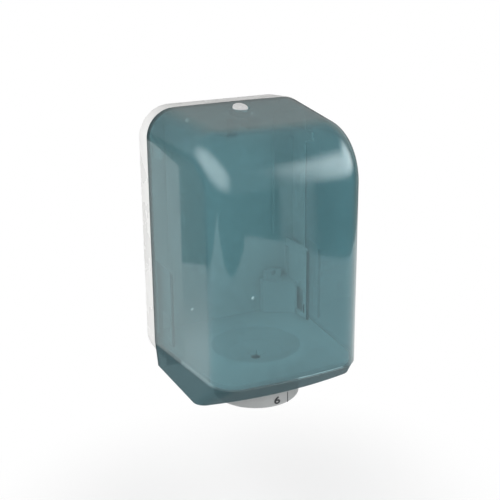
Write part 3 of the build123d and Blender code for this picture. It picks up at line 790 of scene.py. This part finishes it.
@dataclass(frozen=True)
class CrossScrew:
    """Pan head screws with a cross recess, which take the place of one plain node."""

    name: str
    replaced: str
    heads: tuple[Place, ...]
    shank_length: float
    finish: Finish = Finish.ZINC
    slot: Slot = Slot.STEEL
    body: Body = Body.BASE
    aim: Place = (0.0, -1.0, 0.0)
    head_radius: float = 0.0031
    head_height: float = 0.0016
    shank_radius: float = 0.0016
    tip_share: float = 0.35
    crown_share: float = 0.45
    crown_shares: tuple[Span, ...] = ((0.93, 0.45), (0.75, 0.8), (0.4, 1.0))
    recess_share: float = 0.62
    recess_width_share: float = 0.2
    recess_depth_share: float = 0.55
    steps: int = 40

    def build(self, wardrobe: Wardrobe) -> None:
        """Makes the screws of one node as one piece.

        Args:
            wardrobe: The finishes.
        """
        turn = Vector(self.aim).to_track_quat("Z", "Y").to_matrix().to_4x4()
        whole = bmesh.new()
        for head in self.heads:
            single = self._recessed(self._plain())
            bmesh.ops.transform(single, matrix=Matrix.Translation(head) @ turn,
                                verts=single.verts)
            spare = bpy.data.meshes.new("spare_screw")
            single.to_mesh(spare)
            single.free()
            whole.from_mesh(spare)
            bpy.data.meshes.remove(spare)
        piece = mesh_object(self.name, whole)
        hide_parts(self.replaced)
        wardrobe.dress(piece, self.finish, self.body)

    def _plain(self) -> bmesh.types.BMesh:
        """Makes one plain screw with its seat at the origin and its head towards +Z.

        Returns:
            The screw's shape.
        """
        crown = self.head_height * self.crown_share
        flat = self.head_height * (1.0 - self.crown_share)
        profile = [(0.0, -self.shank_length),
                   (self.tip_share * self.shank_radius, -self.shank_length),
                   (self.shank_radius, self.shank_radius - self.shank_length),
                   (self.shank_radius, 0.0), (self.head_radius, 0.0), (self.head_radius, flat)]
        profile += [(across * self.head_radius, flat + up * crown)
                    for across, up in self.crown_shares]
        return lathe(profile + [(0.0, flat + crown)], self.steps)

    def _recessed(self, shape: bmesh.types.BMesh) -> bmesh.types.BMesh:
        """Cuts the cross recess into the head.

        Args:
            shape: The plain screw. It is freed here.

        Returns:
            The screw with its recess.
        """
        reach = 2 * self.recess_share * self.head_radius
        width = 2 * self.recess_width_share * self.head_radius
        depth = self.recess_depth_share * self.head_height
        cutter = bmesh.new()
        for size in ((reach, width), (width, reach)):
            made = bmesh.ops.create_cube(cutter, size=1.0)
            bmesh.ops.scale(cutter, vec=(*size, 2 * depth), verts=made["verts"])
            bmesh.ops.translate(cutter, vec=(0.0, 0.0, self.head_height), verts=made["verts"])
        body = mesh_object("plain_screw", shape, smooth=False)
        tool = mesh_object("recess_tool", cutter, smooth=False)
        cut = body.modifiers.new("recess", "BOOLEAN")
        cut.object = tool
        cut.operation = "DIFFERENCE"
        cut.solver = "EXACT"
        cut.use_self = True
        seen = bpy.context.evaluated_depsgraph_get()
        result = bmesh.new()
        result.from_mesh(body.evaluated_get(seen).to_mesh())
        for spare in (body, tool):
            data = spare.data
            bpy.data.objects.remove(spare)
            bpy.data.meshes.remove(data)
        return result


SCREWS = (
    CrossScrew("shelf_cross_screws", "shelf_screws",
               tuple((x, -0.0125, -0.1535) for x in (-0.068, -0.030, 0.030, 0.068)), 0.0079),
    CrossScrew("keeper_cross_screws", "keeper_screws",
               tuple((0.016, -0.0070, z) for z in (0.132, 0.121)), 0.0051),
    CrossScrew("block_cross_screw", "block_screw", ((0.0735, -0.0074, -0.0827),), 0.0055,
               finish=Finish.NICKEL),
)


@dataclass(frozen=True)
class NozzleMarks:
    """Printed index line and numeral on the nozzle's side."""

    radius: float = 0.056
    proud: float = 0.0004
    sunk: float = 0.0006
    line_angle: float = -70.0
    line_width: float = 0.0009
    line_low: float = -0.2035
    line_high: float = -0.1890
    numeral: str = "6"
    numeral_angle: float = -87.5
    numeral_height: float = 0.0096
    numeral_height_share: float = 0.7
    numeral_stretch: float = 1.35
    numeral_middle: float = -0.1965
    numeral_stroke: float = 0.0003

    def build(self, wardrobe: Wardrobe) -> None:
        """Makes both marks.

        Args:
            wardrobe: The finishes.
        """
        for mark in (self._line(), self._numeral()):
            wardrobe.dress(mark, Finish.INK, Body.NOZZLE)

    def _wrapped(self, name: str, mesh: bmesh.types.BMesh, middle: float,
                 angle: float) -> bpy.types.Object:
        """Bends a flat mark round the nozzle, sunk a little into it.

        Args:
            name: Name of the piece.
            mesh: The mark about the origin, with X along the girth, +Y outwards and Z up.
            middle: Height of its middle.
            angle: Place on the nozzle, in degrees from +X.

        Returns:
            The mark in its place.
        """
        bmesh.ops.translate(mesh, vec=(0.0, 0.5 * (self.proud - self.sunk), middle),
                            verts=mesh.verts)
        for vertex in mesh.verts:
            turn = math.radians(angle) + vertex.co.x / self.radius
            reach = self.radius + vertex.co.y
            vertex.co = Vector((reach * math.cos(turn),
                                reach * math.sin(turn) - OUTLET_DEPTH, vertex.co.z))
        return mesh_object(name, mesh, smooth=False)

    def _line(self) -> bpy.types.Object:
        """Makes the index line."""
        mesh = bmesh.new()
        bmesh.ops.create_cube(mesh, size=1.0)
        bmesh.ops.scale(mesh, vec=(self.line_width, self.proud + self.sunk,
                                   self.line_high - self.line_low), verts=mesh.verts)
        return self._wrapped("nozzle_index_line", mesh,
                             0.5 * (self.line_high + self.line_low), self.line_angle)

    def _numeral(self) -> bpy.types.Object:
        """Makes the numeral."""
        words = bpy.data.curves.new("nozzle_numeral_text", "FONT")
        words.body = self.numeral
        words.align_x = "CENTER"
        words.align_y = "CENTER"
        words.size = self.numeral_height / self.numeral_height_share
        words.extrude = 0.5 * (self.proud + self.sunk)
        words.offset = self.numeral_stroke
        carrier = bpy.data.objects.new("nozzle_numeral_text", words)
        bpy.context.scene.collection.objects.link(carrier)
        seen = bpy.context.evaluated_depsgraph_get()
        mesh = bmesh.new()
        mesh.from_mesh(carrier.evaluated_get(seen).to_mesh())
        bpy.data.objects.remove(carrier)
        bpy.data.curves.remove(words)
        bmesh.ops.rotate(mesh, verts=mesh.verts, cent=(0, 0, 0),
                         matrix=Matrix.Rotation(math.radians(90), 3, "X"))
        bmesh.ops.scale(mesh, vec=(self.numeral_stretch, 1.0, 1.0), verts=mesh.verts)
        return self._wrapped("nozzle_numeral", mesh, self.numeral_middle, self.numeral_angle)


@dataclass(frozen=True)
class Softbox:
    """Rectangular lamp with soft edges, which faces the dispenser from one side."""

    name: str
    bearing: float
    height_angle: float
    width: float
    height: float
    brightness: float
    distance: float = 1.15
    soft_share: float = 0.4

    def build(self, target: Vector) -> None:
        """Adds the lamp.

        Args:
            target: The point that it faces.
        """
        light = bpy.data.lights.new(self.name, "AREA")
        light.shape = "RECTANGLE"
        light.size = self.width
        light.size_y = self.height
        light.energy = self.brightness * math.pi * self.width * self.height
        self._soften(light)
        lamp = bpy.data.objects.new(self.name, light)
        turn, rise = math.radians(self.bearing), math.radians(self.height_angle)
        away = Vector((math.sin(turn) * math.cos(rise), -math.cos(turn) * math.cos(rise),
                       math.sin(rise)))
        lamp.matrix_world = (Matrix.Translation(target + self.distance * away)
                             @ away.to_track_quat("Z", "Y").to_matrix().to_4x4())
        lamp.visible_camera = False
        bpy.context.scene.collection.objects.link(lamp)

    def _soften(self, light: bpy.types.AreaLight) -> None:
        """Lets the lamp's brightness fall off from its middle towards its edges.

        Args:
            light: The lamp's data.
        """
        light.use_nodes = True
        sketch = Sketch(light.node_tree)
        glow = sketch.add("Emission")
        across = sketch.add("SeparateXYZ")
        sketch.join(sketch.add("NewGeometry").outputs["Parametric"], across.inputs[0])
        fades = []
        for axis in ("X", "Y"):
            reach = sketch.maths("ABSOLUTE",
                                 sketch.maths("SUBTRACT", across.outputs[axis], 0.5))
            fades.append(sketch.spread(reach, 0.5 - self.soft_share, 0.5, 1.0, 0.0))
        sketch.join(sketch.maths("MULTIPLY", *fades), glow.inputs["Strength"])
        sketch.join(glow.outputs[0], sketch.add("OutputLight").inputs["Surface"])


SOFTBOXES = (
    Softbox("left_softbox", bearing=-82.0, height_angle=28.0, width=3.4, height=1.3,
            brightness=2.6),
    Softbox("right_softbox", bearing=60.0, height_angle=24.0, width=1.8, height=1.12,
            brightness=4.0),
)


@dataclass(frozen=True)
class Studio:
    """Floor, surroundings and lamps, and the table and card that the cover's gloss shows."""

    target: Place = (0.0, -0.12, 0.05)
    surround: float = 0.5
    floor_height: float = -0.42
    floor_half: float = 1.6
    floor_colour: Colour = (0.9, 0.9, 0.9)
    footprint: Span = (0.06, 0.05)
    shadow_reach: float = 0.36
    mirrored_levels: Span = (0.07, 0.28)
    mirrored_heights: Span = (-0.02, 0.14)
    veil_level: float = 0.55
    veil_left: Span = (0.37, 0.41)
    veil_right: Span = (0.50, 0.56)
    veil_ahead: Span = (-0.6, -0.5)
    table_height: float = -0.2047
    table_corners: tuple[Span, ...] = (
        (-0.36, 0.42), (-0.46, 0.28), (-1.04, -0.28), (-0.66, -0.50), (-0.18, -0.80),
        (0.16, -0.96), (0.36, -0.82), (0.38, -0.74), (0.43, -0.68), (0.57, -0.54),
        (0.74, -0.2), (0.8, 0.42))
    table_levels: Span = (0.8, 0.42)
    table_depths: Span = (-0.05, 0.25)
    near_reach: float = 0.22
    near_shade_share: float = 0.55
    card_left: float = -0.178
    card_right: float = -0.118
    card_low: float = -0.24
    card_shoulder: float = 0.079
    card_high: float = 0.138
    card_level: float = 0.56

    def build(self) -> None:
        """Sets up the view, the surroundings, the floor, the table, the card and the lamps."""
        bpy.context.scene.view_settings.view_transform = "Standard"
        self._surroundings()
        self._floor()
        self._table()
        self._card()
        for softbox in SOFTBOXES:
            softbox.build(Vector(self.target))

    @staticmethod
    def _seen(sketch: Sketch) -> bpy.types.NodeSocket:
        """Marks the rays that show the background.

        Args:
            sketch: The material's sketch.

        Returns:
            A socket that is 1 for the camera's rays, also through the cover, and else 0.
        """
        path = sketch.add("LightPath")
        return sketch.maths("MAXIMUM", path.outputs["Is Camera Ray"],
                            path.outputs["Is Transmission Ray"])

    @staticmethod
    def _background(sketch: Sketch, level: object) -> bpy.types.NodeSocket:
        """Adds a white background.

        Args:
            sketch: The world's sketch.
            level: Its level, a number or a socket.

        Returns:
            The background's socket.
        """
        node = sketch.add("Background")
        sketch.feed(node.inputs["Color"], WHITE_LIGHT)
        sketch.feed(node.inputs["Strength"], level)
        return node.outputs[0]

    def _surroundings(self) -> None:
        """White to the camera, a plain level for light, and a sky for mirrored rays."""
        world = bpy.data.worlds.new("pale_surroundings")
        bpy.context.scene.world = world
        world.use_nodes = True
        sketch = Sketch(world.node_tree)
        glossy = sketch.add("LightPath").outputs["Is Glossy Ray"]
        around = sketch.layer(glossy, self._background(sketch, self.surround),
                              self._background(sketch, self._mirrored_level(sketch)))
        whole = sketch.layer(self._seen(sketch), around, self._background(sketch, 1.0))
        sketch.join(whole, sketch.add("OutputWorld").inputs["Surface"])

    def _mirrored_level(self, sketch: Sketch) -> bpy.types.NodeSocket:
        """Shades the sky that the gloss shows: dark below, paler above, with a pale field.

        Args:
            sketch: The world's sketch.

        Returns:
            The level's socket.
        """
        towards = sketch.axes("Generated")
        level = sketch.spread(towards["Z"], *self.mirrored_heights, *self.mirrored_levels)
        entering = sketch.spread(towards["X"], *self.veil_left)
        leaving = sketch.spread(towards["X"], *self.veil_right, 1.0, 0.0)
        ahead = sketch.spread(towards["Y"], *self.veil_ahead, 1.0, 0.0)
        veil = sketch.maths("MULTIPLY", sketch.maths("MULTIPLY", entering, leaving), ahead)
        return sketch.maths("MAXIMUM", level, sketch.maths("MULTIPLY", veil, self.veil_level))

    @staticmethod
    def _sheet(name: str, mesh: bmesh.types.BMesh, facing: Place) -> bpy.types.Object:
        """Makes a flat stage piece that faces one way.

        Args:
            name: Name of the piece.
            mesh: Its shape.
            facing: The way that it faces.

        Returns:
            The stage piece.
        """
        sheet = mesh_object(name, mesh, smooth=False)
        if sheet.data.polygons[0].normal.dot(Vector(facing)) < 0:
            sheet.data.flip_normals()
        return sheet

    def _floor(self) -> None:
        """White floor, low enough for the open cover, which keeps the shadow."""
        mesh = bmesh.new()
        bmesh.ops.create_grid(mesh, x_segments=1, y_segments=1, size=self.floor_half)
        bmesh.ops.translate(mesh, vec=(0.0, -OUTLET_DEPTH, self.floor_height),
                            verts=mesh.verts)
        floor = self._sheet("studio_floor", mesh, (0.0, 0.0, 1.0))
        floor.data.materials.append(self._floor_white())
        floor.visible_glossy = False

    def _floor_white(self) -> bpy.types.Material:
        """White that melts into the background and keeps the shadow under the dispenser.

        Returns:
            The floor's material.
        """
        material, sketch, surface = start_material("floor_white")
        matt = sketch.add("BsdfDiffuse")
        sketch.feed(matt.inputs["Color"], self.floor_colour)
        whiter = sketch.spread(self._distance(sketch), 0.0, self.shadow_reach)
        shown = sketch.maths("MULTIPLY", self._seen(sketch), whiter)
        sketch.join(sketch.layer(shown, matt.outputs[0], sketch.add("Emission").outputs[0]),
                    surface)
        return material

    def _distance(self, sketch: Sketch) -> bpy.types.NodeSocket:
        """Measures how far a place lies beyond the dispenser's footprint.

        Args:
            sketch: The material's sketch.

        Returns:
            The distance in metres.
        """
        place = sketch.axes()
        beyond = sketch.add("CombineXYZ")
        for axis, middle, half in zip("XY", (0.0, -OUTLET_DEPTH), self.footprint):
            reach = sketch.maths("ABSOLUTE", sketch.maths("SUBTRACT", place[axis], middle))
            outside = sketch.maths("MAXIMUM", sketch.maths("SUBTRACT", reach, half), 0.0)
            sketch.join(outside, beyond.inputs[axis])
        away = sketch.add("VectorMath", operation="LENGTH")
        sketch.join(beyond.outputs[0], away.inputs[0])
        return away.outputs["Value"]

    @staticmethod
    def _glow(name: str) -> tuple[bpy.types.Material, Sketch, bpy.types.NodeSocket]:
        """Starts a material that only glows.

        Args:
            name: Name of the material.

        Returns:
            The material, its sketch and the socket of its strength.
        """
        material, sketch, surface = start_material(name)
        glow = sketch.add("Emission")
        sketch.join(glow.outputs[0], surface)
        return material, sketch, glow.inputs["Strength"]

    @staticmethod
    def _only_mirrored(piece: bpy.types.Object) -> None:
        """Hides a stage piece from all rays but mirrored ones.

        Args:
            piece: The stage piece.
        """
        piece.visible_camera = False
        piece.visible_diffuse = False
        piece.visible_transmission = False
        piece.visible_shadow = False

    def _table(self) -> None:
        """White table outline just below the nozzle, which only the cover's gloss shows."""
        mesh = bmesh.new()
        corners = [mesh.verts.new((x, y, self.table_height)) for x, y in self.table_corners]
        bmesh.ops.contextual_create(mesh, geom=corners)
        bmesh.ops.triangulate(mesh, faces=mesh.faces)
        table = self._sheet("studio_table", mesh, (0.0, 0.0, 1.0))
        material, sketch, strength = self._glow("table_white")
        # Painted shade: the glow dims towards the back and near the dispenser.
        level = sketch.spread(sketch.axes()["Y"], *self.table_depths, *self.table_levels)
        near = sketch.spread(self._distance(sketch), 0.0, self.near_reach,
                             self.near_shade_share, 1.0)
        sketch.join(sketch.maths("MULTIPLY", level, near), strength)
        table.data.materials.append(material)
        self._only_mirrored(table)

    def _card(self) -> None:
        """White card beside the back plate, which only the cover's gloss shows."""
        mesh = bmesh.new()
        corners = [mesh.verts.new((x, 0, z)) for x, z in (
            (self.card_left, self.card_low), (self.card_right, self.card_low),
            (self.card_right, self.card_high), (self.card_left, self.card_shoulder))]
        bmesh.ops.contextual_create(mesh, geom=corners)
        card = self._sheet("studio_card", mesh, (0.0, -1.0, 0.0))
        material, sketch, strength = self._glow("card_white")
        sketch.feed(strength, self.card_level)
        card.data.materials.append(material)
        self._only_mirrored(card)


@dataclass(frozen=True)
class Viewpoint:
    """Camera at the photograph's angle."""

    aim: Place = (0.0, -0.1, 0.0)
    turn: float = 26.11
    rise: float = 18.3
    roll: float = -0.42
    distance: float = 1.28143
    sensor: float = 36.0
    focal_share: float = 2.02986
    shift: Span = (-0.00718, -0.0174)
    clip: Span = (0.01, 50.0)

    def build(self) -> None:
        """Makes the camera and makes it the scene's."""
        data = bpy.data.cameras.new("photo_camera")
        data.sensor_width = self.sensor
        data.lens = self.focal_share * self.sensor
        data.shift_x, data.shift_y = self.shift
        data.clip_start, data.clip_end = self.clip
        camera = bpy.data.objects.new("photo_camera", data)
        turn, rise, roll = (math.radians(angle) for angle in (self.turn, self.rise, self.roll))
        ahead = Vector((math.sin(turn) * math.cos(rise), math.cos(turn) * math.cos(rise),
                        -math.sin(rise)))
        right = Vector((math.cos(turn), -math.sin(turn), 0.0))
        upward = right.cross(ahead)
        rolled_right = math.cos(roll) * right + math.sin(roll) * upward
        rolled_up = -math.sin(roll) * right + math.cos(roll) * upward
        place = Vector(self.aim) - self.distance * ahead
        camera.matrix_world = Matrix((
            (rolled_right.x, rolled_up.x, -ahead.x, place.x),
            (rolled_right.y, rolled_up.y, -ahead.y, place.y),
            (rolled_right.z, rolled_up.z, -ahead.z, place.z),
            (0.0, 0.0, 0.0, 1.0)))
        bpy.context.scene.collection.objects.link(camera)
        bpy.context.scene.camera = camera


def main() -> None:
    """Builds everything in order."""
    Viewpoint().build()
    Studio().build()
    wardrobe = Wardrobe()
    wardrobe.dress_solids(frame["nodes"])
    NozzleMarks().build(wardrobe)
    for screw in SCREWS:
        screw.build(wardrobe)


if __name__ == "__main__":
    main()
